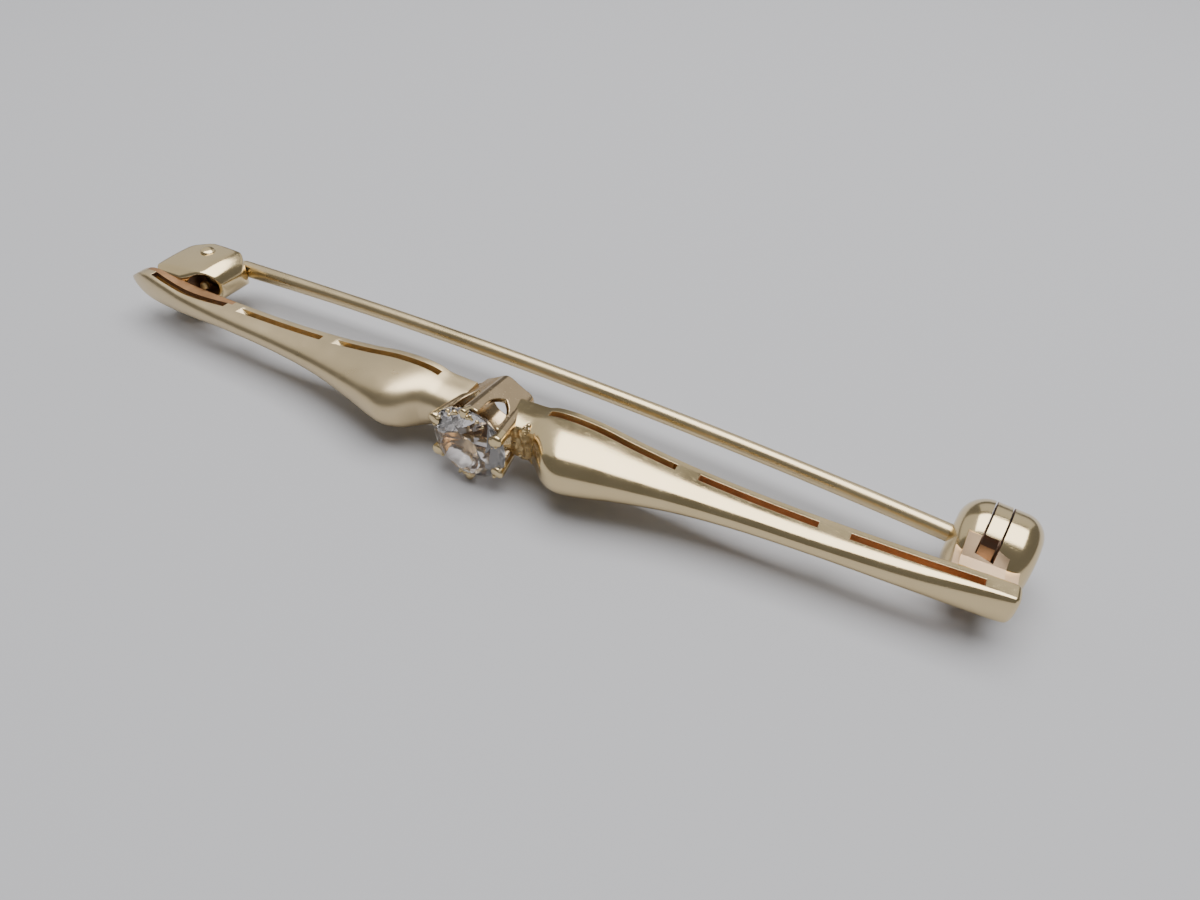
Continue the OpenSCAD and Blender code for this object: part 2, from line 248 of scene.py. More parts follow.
def endTree(tree, geometry, material):
    real = flow(tree, "GeometryNodeRealizeInstances", [(0, geometry)])
    smooth = flow(tree, "GeometryNodeSetShadeSmooth", [("Geometry", real)])
    paint = flow(tree, "GeometryNodeSetMaterial", [("Geometry", smooth), ("Material", material)])
    put(tree, "NodeGroupOutput", [(0, paint)])


def grow(obj, tree, values):
    grown = obj.modifiers.new("grow", "NODES")
    grown.node_group = tree
    for item in tree.interface.items_tree:
        if item.in_out == "INPUT" and item.name in values:
            grown[item.identifier] = values[item.name]
    return bake(obj)


# Materials

def newMaterial(name, values):
    material = bpy.data.materials.new(name)
    material.use_nodes = True
    shader = material.node_tree.nodes["Principled BSDF"]
    for label, value in values.items():
        shader.inputs[label].default_value = value
    return material, material.node_tree, shader


# Marks of wear and polishing: broad clouds, scratches drawn out along the bar and a fine grain
marksLook = {
    "cloudDetail": 3.0, "scratchDetail": 4.0, "scratchRough": 0.7, "scratchBand": (0.58, 0.72),
    "drawnOut": (0.035, 1.0, 1.0), "fineSize": 14000.0, "fineDetail": 2.0,
}


def makePolishMarks():
    look = marksLook
    sizes = floats("Cloud Size", "Scratch Size", "Scratch Turn")
    tree, given = startGroup("polishMarks", "ShaderNodeTree", sizes, floats("Cloud", "Scratch", "Fine"))
    where = put(tree, "ShaderNodeTexCoord").outputs["Object"]
    cloud = cloudNoise(tree, where, given.outputs["Cloud Size"], look["cloudDetail"])
    turned = flow(tree, "ShaderNodeVectorRotate",
                  [("Vector", where), ("Angle", given.outputs["Scratch Turn"])], rotation_type="Y_AXIS")
    drawn = flow(tree, "ShaderNodeVectorMath", [(0, turned), (1, look["drawnOut"])], operation="MULTIPLY")
    scratch = cloudNoise(tree, drawn, given.outputs["Scratch Size"], look["scratchDetail"],
                         look["scratchRough"])
    sharp = remap(tree, scratch, look["scratchBand"])
    fine = cloudNoise(tree, where, look["fineSize"], look["fineDetail"])
    put(tree, "NodeGroupOutput", [("Cloud", cloud), ("Scratch", sharp), ("Fine", fine)])
    return tree


polishMarks = makePolishMarks()


# Depths are in mm, and the band is the part of the cloud's values that changes the roughness
def goldLook(pale, deep, rough, **changes):
    plain = {"cloudSize": 1500.0, "cloudDepth": 0.01, "cloudBand": (0.3, 0.7), "scratchSize": 5200.0,
             "scratchTurn": 0.2, "scratchDepth": 0.002, "scratchRough": 0.10, "fineDepth": 0.003}
    return {**plain, "pale": pale, "deep": deep, "rough": rough, **changes}


goldLooks = {
    "polished": goldLook((0.80, 0.645, 0.385), (0.68, 0.53, 0.285), (0.12, 0.21), cloudSize=420,
                         cloudDepth=0.006, scratchTurn=0.5, scratchDepth=0.0012, fineDepth=0.0006),
    "satin": goldLook((0.76, 0.615, 0.385), (0.64, 0.505, 0.29), (0.27, 0.35), cloudSize=420,
                      cloudDepth=0.006, scratchTurn=0.5, scratchDepth=0.0016, fineDepth=0.0016),
    "drawn": goldLook((0.77, 0.625, 0.385), (0.66, 0.52, 0.29), (0.24, 0.33), cloudSize=300,
                      cloudDepth=0.004, scratchSize=6500, scratchTurn=0.0, scratchDepth=0.0016,
                      scratchRough=0.08, fineDepth=0.0005),
    # Inside: a more orange, rougher gold for the hollows, some slot walls and the ring's notch; its orange
    # tone is painted reflection of the light bouncing in them
    "inside": goldLook((0.92, 0.61, 0.35), (0.70, 0.40, 0.20), (0.48, 0.60), cloudDepth=0.02,
                       scratchSize=3000, scratchDepth=0.004, fineDepth=0.004),
    # Painted shade: a darker copy of the polished gold for the sides of the collet
    "paintedSideShade": goldLook((0.60, 0.455, 0.285), (0.50, 0.37, 0.215), (0.16, 0.25), cloudSize=700,
                       cloudDepth=0.006, scratchTurn=1.4, scratchDepth=0.0014, fineDepth=0.0005),
    # Painted light: a lighter, rougher gold for the lit walls of some slots, the inside of the left arm and
    # the drop in the hinge's mouth
    "paintedLight": goldLook((0.95, 0.76, 0.44), (0.76, 0.56, 0.28), (0.44, 0.56), cloudDepth=0.012),
    "blush": goldLook((0.70, 0.51, 0.33), (0.57, 0.39, 0.24), (0.34, 0.44), cloudSize=900, cloudDepth=0.012,
                      scratchTurn=1.2, scratchRough=0.08, fineDepth=0.002),
    # Painted shade: a dark gold for hollows in shade, namely the hinge's pocket and mouth, the catch's groove
    # and channel, the ring's sides and worn notch, and the walls of the left arm's last slot
    "paintedShade": goldLook((0.48, 0.33, 0.25), (0.27, 0.18, 0.12), (0.42, 0.54), cloudDepth=0.02,
                     scratchSize=3000, scratchDepth=0.004, fineDepth=0.004),
    # Painted reflection: a copper tone for the upper edge of the left arm's back plate behind its last slot
    "copper": goldLook((0.53, 0.31, 0.16), (0.40, 0.21, 0.10), (0.32, 0.44)),
    "cast": goldLook((0.74, 0.56, 0.29), (0.36, 0.23, 0.10), (0.22, 0.42), cloudSize=4200, cloudDepth=0.07,
                     scratchTurn=1.4, scratchDepth=0.01, fineDepth=0.01),
}


def makeGold(name, look):
    material, tree, shader = newMaterial(name, {"Metallic": 1.0})
    sizes = [("Cloud Size", look["cloudSize"]), ("Scratch Size", look["scratchSize"]),
             ("Scratch Turn", look["scratchTurn"])]
    marks = put(tree, "ShaderNodeGroup", sizes, node_tree=polishMarks).outputs
    tone = put(tree, "ShaderNodeMix",
               [("Factor", marks["Cloud"]), ("A", (*look["deep"], 1)), ("B", (*look["pale"], 1))],
               data_type="RGBA")
    tree.links.new(tone.outputs["Result"], shader.inputs["Base Color"])
    rough = remap(tree, marks["Cloud"], look["cloudBand"], look["rough"])
    rough = compute(tree, "MULTIPLY_ADD", marks["Scratch"], look["scratchRough"], rough)
    tree.links.new(rough, shader.inputs["Roughness"])
    relief = compute(tree, "MULTIPLY", marks["Scratch"], -look["scratchDepth"])
    relief = compute(tree, "MULTIPLY_ADD", marks["Cloud"], look["cloudDepth"], relief)
    relief = compute(tree, "MULTIPLY_ADD", marks["Fine"], look["fineDepth"], relief)
    bump = flow(tree, "ShaderNodeBump", [("Height", relief), ("Distance", mm)])
    tree.links.new(bump, shader.inputs["Normal"])
    return material


gold = {name: makeGold("gold_" + name, look) for name, look in goldLooks.items()}

# The crystal's grey-brown tint darkens the bright floor seen through the stone: painted shade
crystalLook = {
    "ior": 1.55, "tint": (0.86, 0.82, 0.80), "wearSize": 2600.0, "wearDetail": 5.0, "wearBand": (0.5, 0.8),
    "rough": (0.015, 0.12), "nickDepth": 0.024, "nickStrength": 0.3,
}


def makeCrystal():
    look = crystalLook
    material, tree, shader = newMaterial("crystal", {"Base Color": (*look["tint"], 1), "IOR": look["ior"],
                                                     "Transmission Weight": 1.0})
    where = put(tree, "ShaderNodeTexCoord").outputs["Object"]
    wear = cloudNoise(tree, where, look["wearSize"], look["wearDetail"])
    rough = remap(tree, wear, look["wearBand"], look["rough"])
    tree.links.new(rough, shader.inputs["Roughness"])
    bump = flow(tree, "ShaderNodeBump",
                [("Height", wear), ("Distance", look["nickDepth"] * mm), ("Strength", look["nickStrength"])])
    tree.links.new(bump, shader.inputs["Normal"])
    return material


crystal = makeCrystal()
print("materials made")


# Each face takes the gold whose number lookOf returns for its corners and normal
def finishPiece(obj, materials=(), lookOf=None, sharp=None, body="brooch"):
    mesh = obj.data
    if materials:
        mesh.materials.clear()
        for look in materials:
            mesh.materials.append(gold[look])
        for face in mesh.polygons:
            corners = [mesh.vertices[i].co for i in face.vertices]
            face.material_index = lookOf(corners, face.normal) if lookOf else 0
    mesh.transform(barToFrame)
    mesh.polygons.foreach_set("use_smooth", [True] * len(mesh.polygons))
    if sharp:
        mesh.set_sharp_from_angle(angle=radians(sharp))
    mesh.update()
    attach(obj, body)
    print(obj.name, len(mesh.polygons), "faces")
    return obj


def middleOf(corners):
    return sum(corners, Vector()) / len(corners)


# The two arms

arm = {
    "plate": 0.42, "slotWidth": 0.43, "wall": 0.36, "rim": 0.035, "rimAngle": 50,
    "slots": [(3.7, 11.2), (12.75, 19.25), (20.9, 27.3)], "hollow": (3.62, 27.4),
    # Stations along the arm: their step, the closer ones on the neck, and the least gap between two
    "step": 0.24, "neckFrom": 2.2, "neckStep": 0.06, "neckCount": 28, "gap": 0.03,
    # The rounded end of the right arm, and the parts of its radius at which it has stations
    "endRound": 0.3, "endParts": (0.1, 0.2, 0.3, 0.45, 0.6, 0.8, 1.0), "endBack": 0.12,
    # Steps from slot to nose, and the power of the curve between them, which lies between oval and square
    "noseSteps": 26, "fineSteps": 60, "square": 2.6,
    # Bevel of the back's edges, at most this part of the half width, and the flat strip before the slot
    "bevel": 0.08, "bevelPart": 0.3, "frontPart": 0.7, "strip": 0.04,
    # Length of the filed slope at the outer end of each slot
    "filedLeft": (0.42, 0.42, 0.0), "filedRight": (0.22, 0.0, 0.0),
    # The last slot of the left arm bows away from the back plate, and the tip thins towards its point
    "bow": 0.30, "tipFrom": 28.8, "tipBack": 0.3,
    # The copper coloured strip behind that slot, a painted reflection on the back plate's upper edge, and the
    # columns of the section that it covers
    "copper": (20.6, 28.2), "copperColumns": (2, 3, 4),
}
# The cast front of the right neck: where it is coloured, where it is uneven, and how
cast = {"coloured": (2.35, 3.72), "columns": (0.3, 0.7), "uneven": (2.3, 3.78), "front": -2.2,
        "fade": (0.2, 0.12), "grain": (2.2, 5.0), "octaves": 4, "depth": 0.10}
# Looks of the outside, the inside, the neck or strip, and the walls of the three slots; the walls take a
# lighter or darker gold slot by slot, as painted light and shade
rightLooks = {"outside": "polished", "inside": "inside", "accent": "cast",
              "walls": ("paintedLight", "inside", "inside")}
leftLooks = {"outside": "satin", "inside": "paintedLight", "accent": "copper", "walls": ("paintedLight", "paintedLight", "paintedShade")}
# Distance from the middle, half width above, depth, half width below
neckRows = [
    (1.50, 1.30, 2.60, 1.30), (2.80, 1.34, 2.60, 1.34), (3.40, 1.40, 2.62, 1.42), (3.90, 1.58, 2.85, 1.58),
    (4.30, 1.66, 3.25, 1.66), (4.90, 1.71, 3.80, 1.71), (5.80, 1.71, 4.10, 1.71), (7.00, 1.62, 3.88, 1.62),
    (9.00, 1.29, 3.32, 1.29), (12.0, 0.93, 2.63, 0.93), (15.5, 0.72, 2.18, 0.72), (19.5, 0.66, 1.92, 0.66),
]
catchRows = [
    (24.0, 0.76, 1.68, 0.76), (27.2, 0.92, 1.38, 0.92), (28.6, 0.93, 1.20, 0.93), (29.0, 0.86, 1.08, 0.86),
]
tipRows = [
    (24.0, 0.74, 1.68, 0.76), (26.0, 0.96, 1.48, 0.88), (27.2, 1.10, 1.34, 0.90), (28.0, 1.07, 1.20, 0.82),
    (28.7, 0.82, 1.04, 0.66), (29.3, 0.48, 0.84, 0.42), (29.7, 0.24, 0.66, 0.22), (29.9, 0.10, 0.54, 0.10),
]


def rowSlope(rows, i, c):
    a, b = rows[max(i - 1, 0)], rows[min(i + 1, len(rows) - 1)]
    return (b[c] - a[c]) / (b[0] - a[0])


# Value of column c at x, on a smooth curve through the rows
def curveAt(rows, x, c):
    i = 0
    while i < len(rows) - 2 and x >= rows[i + 1][0]:
        i += 1
    a, b = rows[i], rows[i + 1]
    w = b[0] - a[0]
    t = min(1.0, (x - a[0]) / w)
    rise, fall = rowSlope(rows, i, c) * w, rowSlope(rows, i + 1, c) * w
    return (a[c] * (1 + 2 * t) * (1 - t) ** 2 + rise * t * (1 - t) ** 2
            + b[c] * t * t * (3 - 2 * t) - fall * t * t * (1 - t))


# Points on y and z from the front edge of the slot round to the middle of the front, evenly spread
def frontPoints(halfWidth, depth, start):
    fine, power = [], 2 / arm["square"]
    for k in range(arm["fineSteps"]):
        w = pi / 2 * k / arm["fineSteps"]
        fine.append((start + (depth - start) * sin(w) ** power, halfWidth * cos(w) ** power))
    fine.append((depth, 0.0))
    run = [0.0]
    for a, b in zip(fine, fine[1:]):
        run.append(run[-1] + dist(a, b))
    points, i = [], 0
    for k in range(arm["noseSteps"] + 1):
        goal = run[-1] * k / arm["noseSteps"]
        while i < len(fine) - 2 and run[i + 1] < goal:
            i += 1
        t = (goal - run[i]) / max(1e-9, run[i + 1] - run[i])
        (y, z), (nextY, nextZ) = fine[i], fine[i + 1]
        points.append((y + (nextY - y) * t, z + (nextZ - z) * t))
    return points


# Half section from the middle of the back round to the middle of the front
def halfSection(halfWidth, depth, back, shift):
    bevel = min(arm["bevel"], arm["bevelPart"] * halfWidth)
    front = min(arm["plate"] + arm["slotWidth"] + shift, depth * arm["frontPart"])
    half = [(back, 0.0), (back, (halfWidth - bevel) * 0.5), (back, halfWidth - bevel),
            (back + bevel * 0.3, halfWidth - bevel * 0.3), (back + bevel, halfWidth),
            (min(arm["plate"] + shift, front - arm["strip"]), halfWidth)]
    return half + frontPoints(halfWidth, depth, front)


def joinHalves(upper, lower):
    return upper + [(d, -h) for d, h in lower[-2:0:-1]]


def outerLoop(above, depth, below, back, shift):
    return joinHalves(halfSection(above, depth, back, shift), halfSection(below, depth, back, shift))


def innerLoop(above, depth, below, _, shift):
    plate, wall = arm["plate"], arm["wall"]
    front = plate + arm["slotWidth"] + shift
    halves = [[(plate + shift, 0.0), (plate + shift, w)] + frontPoints(w, depth - wall, front)
              for w in (above - wall, below - wall)]
    return joinHalves(*halves)


# Half width above, depth, half width below, place of the back and shift of the slot
def sectionAt(rows, side, x):
    last, slot = rows[-1][0], arm["slots"][-1]
    above, depth, below = (curveAt(rows, x, c) for c in (1, 2, 3))
    if side > 0:
        near = max(0.0, (x - (last - arm["endRound"])) / arm["endRound"])
        inset = arm["endRound"] * (1 - sqrt(max(0.0, 1 - near * near)))
        return above - inset, depth - inset, below - inset, min(inset, arm["endBack"]), 0.0
    back = arm["tipBack"] * max(0.0, (x - arm["tipFrom"]) / (last - arm["tipFrom"])) ** 2
    along = (x - slot[0]) / (slot[1] - slot[0])
    shift = arm["bow"] * sin(pi * along) if 0 < along < 1 else 0.0
    return above, depth, below, back, shift


# Distances from the middle at which the arm gets a section
def armStations(rows, side, slots):
    start, last = rows[0][0], rows[-1][0]
    count = round((last - start) / arm["step"])
    spread = [start + (last - start) * k / count for k in range(count)]
    spread += [arm["neckFrom"] + arm["neckStep"] * k for k in range(arm["neckCount"])]
    if side > 0:
        spread += [last - arm["endRound"] * part for part in arm["endParts"]]
    marks = {start, last, *arm["hollow"]} | {x for slot in slots for x in slot}
    marks |= {x for x in spread
              if all(abs(x - m) > arm["gap"] for m in marks) and not any(s[1] < x < s[2] for s in slots)}
    return sorted(marks)


# The cast front of the neck is left uneven
def roughen(x, y, z):
    low, high = cast["uneven"]
    if not low < x < high or y >= cast["front"]:
        return x, y, z
    fade = min(1.0, (x - low) / cast["fade"][0], (high - x) / cast["fade"][1])
    bite = noise.fractal(Vector((x * cast["grain"][0], 0.0, z * cast["grain"][1])), 1.0, 2.0, cast["octaves"])
    return x, y - cast["depth"] * fade * bite, z


# An outer and an inner tube, open at the slots, where walls join them. Side: 1 right, -1 left
def makeArm(name, rows, side, filed, looks):
    # Each slot opens further outside than inside where its end is filed to a slope
    slots = [(first, last, last + cut) for (first, last), cut in zip(arm["slots"], filed)]
    stations = armStations(rows, side, slots)
    inside = [x for x in stations if arm["hollow"][0] <= x <= arm["hollow"][1]]
    outer = [outerLoop(*sectionAt(rows, side, x)) for x in stations]
    inner = [innerLoop(*sectionAt(rows, side, x)) for x in inside]
    n, m = len(outer[0]), len(inner[0])
    points = [(side * x, -d, h) for x, loop in zip(stations, outer) for d, h in loop]
    if side > 0:
        points = [roughen(*p) for p in points]
    points += [(side * x, -d, h) for x, loop in zip(inside, inner) for d, h in loop]
    # First point of each section, then the columns of the slot's edges, above and below
    at = {x: i * n for i, x in enumerate(stations)}
    deep = {x: len(stations) * n + i * m for i, x in enumerate(inside)}
    edges, deepEdges = (5, 6, n - 5, n - 6), (1, 2, m - 1, m - 2)
    # Corners and look of each face
    skin = []

    def inSlot(a, b, end):
        return any(slot[0] <= a and b <= slot[end] for slot in slots)

    def outerLook(x, k):
        low, high = cast["coloured"] if side > 0 else arm["copper"]
        first, last = cast["columns"]
        isColumn = first < k / n < last if side > 0 else k in arm["copperColumns"]
        return looks["accent" if low < x < high and isColumn else "outside"]

    # Each slot's walls take their own gold, lighter or darker: painted light and shade
    def wallLook(x):
        return looks["walls"][sum(x >= slot[0] for slot in slots) - 1]

    for a, b in zip(stations, stations[1:]):
        for k in range(n):
            if inSlot(a, b, 2) and k in (5, n - 6):
                continue
            corners = [at[a] + k, at[a] + (k + 1) % n, at[b] + (k + 1) % n, at[b] + k]
            skin.append((corners, outerLook((a + b) / 2, k)))
    for a, b in zip(inside, inside[1:]):
        for k in range(m):
            if inSlot(a, b, 1) and k in (1, m - 2):
                continue
            corners = [deep[a] + k, deep[b] + k, deep[b] + (k + 1) % m, deep[a] + (k + 1) % m]
            skin.append((corners, looks["inside"]))
        if inSlot(a, b, 1):
            for out, into in zip(edges, deepEdges):
                skin.append(([at[a] + out, at[b] + out, deep[b] + into, deep[a] + into], wallLook(a)))
    for first, second, third in slots:
        for x, into, look in ((first, first, wallLook(first)),
                              (third, second, looks["outside"] if third > second else wallLook(second))):
            for j in (0, 2):
                corners = [at[x] + edges[j], at[x] + edges[j + 1],
                           deep[into] + deepEdges[j + 1], deep[into] + deepEdges[j]]
                skin.append((corners, look))
        if third > second:
            for out, into in zip(edges, deepEdges):
                skin.append(([at[second] + out, at[third] + out, deep[second] + into], looks["outside"]))
    for ends, first, size, look in ((stations, at, n, "outside"), (inside, deep, m, "inside")):
        for x in (ends[0], ends[-1]):
            skin.append(([first[x] + k for k in range(size)], looks[look]))
    obj = addMesh(name, points, [corners for corners, look in skin])
    mesh = obj.data
    names = list(dict.fromkeys((looks["outside"], looks["inside"], looks["accent"], *looks["walls"])))
    for look in names:
        mesh.materials.append(gold[look])
    mesh.polygons.foreach_set("material_index", [names.index(look) for corners, look in skin])
    mesh.polygons.foreach_set("use_smooth", [True] * len(skin))
    rim = obj.modifiers.new("rim", "BEVEL")
    rim.width = arm["rim"]
    rim.segments = 2
    rim.limit_method = "ANGLE"
    rim.angle_limit = radians(arm["rimAngle"])
    obj.modifiers.new("even", "WEIGHTED_NORMAL")
    bake(obj)
    return finishPiece(obj)


armRight = makeArm("armRight", neckRows + catchRows, 1, arm["filedRight"], rightLooks)
makeArm("armLeft", neckRows + tipRows, -1, arm["filedLeft"], leftLooks)
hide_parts("gold_bar")


# The claw setting

setting = {
    # The collet: a six sided funnel with a round well, its sides a little hollow and its corners rounded
    "x": 0.15, "backRadius": 2.0, "frontRadius": 2.44, "behind": 0.78, "front": 3.15, "hollowSides": 0.05,
    "corner": 0.12, "cornerFrom": 18, "wellBack": 1.18, "wellFront": 1.92, "steps": 96, "levels": 14,
    # The pointed arches in its sides, and between which distances from the axis they are cut
    "archHalf": 0.66, "archBend": 2.2, "archSteps": 10, "sideArchTop": 0.95, "endArchTop": 2.0,
    "archFoot": 6.0, "archCut": (1.36, 3.2),
    "reach": 2.66, "clawTip": 3.92, "grain": 0.042, "passes": 7,
    # Angle of one claw of each pair, then its sizes
    "claws": [(30, {"radius": 0.37, "reach": 2.72, "backReach": 2.10, "back": 0.0, "hook": 0.2}),
              (150, {"radius": 0.34, "reach": 2.70, "backReach": 2.04, "back": 0.1, "hook": 0.2}),
              (90, {"radius": 0.26, "reach": 2.62, "backReach": 2.30, "back": -3.0, "hook": 0.12})],
    "tipLift": 0.12, "tipShape": (1.0, 0.55, 1.0), "hookShape": (1.1, 0.6, 0.95),
    # Crumbs of metal left on the claws where they were pushed over the stone: angle, spread, how many
    "crumbs": [(90, 34, 18), (150, 16, 7), (210, 16, 8), (270, 24, 9), (330, 14, 5), (30, 12, 4)],
    # Middle and spread of their reach, height and radius
    "crumbInset": (0.42, 0.28), "crumbLift": (0.10, 0.16), "crumbRadius": (0.12, 0.06), "crumbTurn": 1.6,
    "crumbGrain": 0.034,
    # Beads of solder where the collet meets the right neck: place and radius
    "beads": [((3.06, -1.86, 1.22), 0.17), ((2.92, -2.02, 1.16), 0.13), ((3.18, -2.06, 1.12), 0.12),
              ((2.86, -2.5, -0.5), 0.16)],
    # The sides of the collet, painted darker as shade, end here, and their faces lean less than this
    "sideShadeFront": -3.1, "sideShadeLean": 0.6,
}
# The stone's room in the setting, with a little air round it
stoneSize = {"radius": 2.38, "girdle": 3.5, "girdleHalf": 0.05, "crown": 0.78, "pavilion": 2.0, "table": 0.56,
             "air": 0.05, "tableAir": 0.1, "rimFront": 0.06, "rimBack": 0.1, "culet": 0.3}


# Axis along Y with angles turning from +X towards +Z, as on the collet
def aroundStone(angle):
    return move((setting["x"], 0, 0)) @ Matrix.Rotation(-radians(angle), 4, "Y")


# Outline of a pointed arch, two arcs that meet in a point
def archOutline(top):
    h, steps = setting["archHalf"], setting["archSteps"]
    bend = setting["archBend"] * h
    last = acos(1 - h / bend)
    turns = [last * j / steps for j in range(steps + 1)]
    arc = [(bend * cos(w) - bend + h, bend * sin(w)) for w in turns]
    spring = -top - arc[-1][1]
    outline = [(-h, -setting["archFoot"]), (h, -setting["archFoot"])] + [(x, spring + y) for x, y in arc]
    return outline + [(-x, spring + y) for x, y in arc[-2::-1]]


def makeCollet():
    s = setting
    steps, levels = s["steps"], s["levels"]

    def side(angle, t):
        within = (degrees(angle) + 30) % 60 - 30
        corner = s["backRadius"] + (s["frontRadius"] - s["backRadius"]) * t
        r = corner * cos(pi / 6) / cos(radians(within))
        r -= s["hollowSides"] * cos(radians(3 * within)) * (1 - t)
        return r - s["corner"] * max(0.0, (abs(within) - s["cornerFrom"]) / (30 - s["cornerFrom"])) ** 2

    def well(angle, t):
        return s["wellBack"] + (s["wellFront"] - s["wellBack"]) * t

    rings = [(side, level / levels) for level in range(levels + 1)]
    rings += [(well, 1 - level / levels) for level in range(levels + 1)]
    points, faces = [], []
    for radiusAt, t in rings:
        y = s["behind"] - (s["behind"] + s["front"]) * t
        for k in range(steps):
            angle = tau * k / steps
            r = radiusAt(angle, t)
            points.append((s["x"] + r * cos(angle), y, r * sin(angle)))
    for ring in range(len(rings)):
        a, b = ring * steps, (ring + 1) % len(rings) * steps
        faces += [[a + k, a + (k + 1) % steps, b + (k + 1) % steps, b + k] for k in range(steps)]
    collet = addMesh("setting", points, faces)
    near, far = s["archCut"]
    for k in range(6):
        outline = archOutline(s["endArchTop"] if k in (0, 3) else s["sideArchTop"])
        place = aroundStone(60 * k) @ swap((0, 0, 1), (0, 1, 0), (-1, 0, 0))
        combine(collet, prism("arch", outline, -far, -near, place))
    return collet


# A pair of claws on opposite sides of the collet, each hooked over the edge of the stone
def clawTree():
    sizes = floats("First Angle", "Radius", "Back Reach", "Tip Reach", "Back", "Tip", "Hook")
    tree, given = startTree("clawPair", sizes + [("Material", "Material")])
    angle, radius, backReach, tipReach, back, tip, hook, material = given.outputs[1:9]
    start = vector(tree, X=backReach, Y=back)
    end = vector(tree, X=tipReach, Y=tip)
    stem = flow(tree, "GeometryNodeCurvePrimitiveLine", [("Start", start), ("End", end)])
    bead = vector(tree, X=compute(tree, "SUBTRACT", tipReach, hook), Y=tip)
    ring = flow(tree, "GeometryNodeCurvePrimitiveCircle", [("Resolution", 20), ("Radius", radius)])
    stick = flow(tree, "GeometryNodeCurveToMesh",
                 [("Curve", stem), ("Profile Curve", ring), ("Fill Caps", True)])
    knob = flow(tree, "GeometryNodeMeshUVSphere", [("Segments", 20), ("Rings", 12), ("Radius", radius)])
    tipBall = flow(tree, "GeometryNodeTransform",
                   [("Geometry", knob), ("Translation", end), ("Scale", setting["tipShape"])])
    hookBall = flow(tree, "GeometryNodeTransform",
                    [("Geometry", knob), ("Translation", bead), ("Scale", setting["hookShape"])])
    claw = put(tree, "GeometryNodeJoinGeometry")
    for part in (stick, tipBall, hookBall):
        tree.links.new(part, claw.inputs[0])
    # Two points of a tiny circle carry the pair
    spots = flow(tree, "GeometryNodeMeshCircle", [("Vertices", 3), ("Radius", 0.0001)])
    number = flow(tree, "GeometryNodeInputIndex")
    turn = vector(tree, Y=compute(tree, "MULTIPLY_ADD", number, -pi, angle))
    isInPair = compute(tree, "LESS_THAN", number, 1.5)
    pair = flow(tree, "GeometryNodeInstanceOnPoints",
                [("Points", spots), ("Selection", isInPair), ("Instance", claw.outputs[0]),
                 ("Rotation", turn)])
    endTree(tree, pair, material)
    return tree


def makeClaws():
    s, tree, pairs = setting, clawTree(), []
    for first, look in s["claws"]:
        claws = addMesh("claws", [(0, 0, 0)], [])
        r = look["radius"]
        grow(claws, tree, {"First Angle": -radians(first), "Radius": r, "Tip Reach": look["reach"] - r,
                           "Back Reach": look["backReach"] - r, "Tip": -s["clawTip"] + s["tipLift"],
                           "Back": look["back"], "Hook": look["hook"], "Material": gold["polished"]})
        claws.data.transform(move((s["x"], 0, 0)))
        pairs.append(claws)
    return pairs


# Noise at a place and scale of its own for each measure of a crumb
def makeCrumbs():
    s = setting
    (inset, insetSpread), (lift, liftSpread) = s["crumbInset"], s["crumbLift"]
    size, sizeSpread = s["crumbRadius"]
    crumbs = []
    for angle, spread, count in s["crumbs"]:
        for k in range(count):
            part = Vector((angle, k * 1.7, 3.1))
            turn = angle + spread * noise.noise(part * 0.37) * s["crumbTurn"]
            reach = s["reach"] - inset + insetSpread * noise.noise(part * 0.53 + Vector((9, 0, 0)))
            y = -s["clawTip"] + lift + liftSpread * noise.noise(part * 0.71 + Vector((0, 7, 0)))
            r = size + sizeSpread * noise.noise(part * 0.9 + Vector((0, 0, 5)))
            crumbs.append(ball("crumb", r, aroundStone(turn) @ Vector((reach, y, 0))))
    return crumbs + [ball("bead", r, place) for place, r in s["beads"]]


def stoneRoom():
    z = stoneSize
    r, girdle, half, air = z["radius"], -z["girdle"], z["girdleHalf"], z["air"]
    table, culet = girdle - half - z["crown"] - air, girdle + z["pavilion"]
    profile = [(0.0, table), (r * z["table"] + z["tableAir"], table), (r + air, girdle - z["rimFront"]),
               (r + air, girdle + z["rimBack"]), (z["culet"], culet), (0.0, culet)]
    place = move((setting["x"], 0, 0)) @ swap((0, 0, 1), (1, 0, 0), (0, 1, 0))
    return lathe("stoneRoom", profile, 64, place)


# Number of the look: 1 on the sides of the collet, which take a darker, slightly rougher gold than the claws:
# painted shade
def settingLook(corners, normal):
    return int(middleOf(corners).y > setting["sideShadeFront"] and abs(normal.y) < setting["sideShadeLean"])


def makeSetting():
    s = setting
    metal = polish(gather("setting", [makeCollet()] + makeClaws()), s["grain"], s["passes"])
    combine(metal, stoneRoom())
    crumbs = polish(gather("crumbs", makeCrumbs()), s["crumbGrain"], 1)
    combine(crumbs, stoneRoom())
    both = gather("setting", [metal, crumbs])
    finishPiece(both, ["polished", "paintedSideShade"], settingLook)


makeSetting()

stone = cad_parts["stone"]
stone.data.materials.clear()
stone.data.materials.append(crystal)


# The hinge

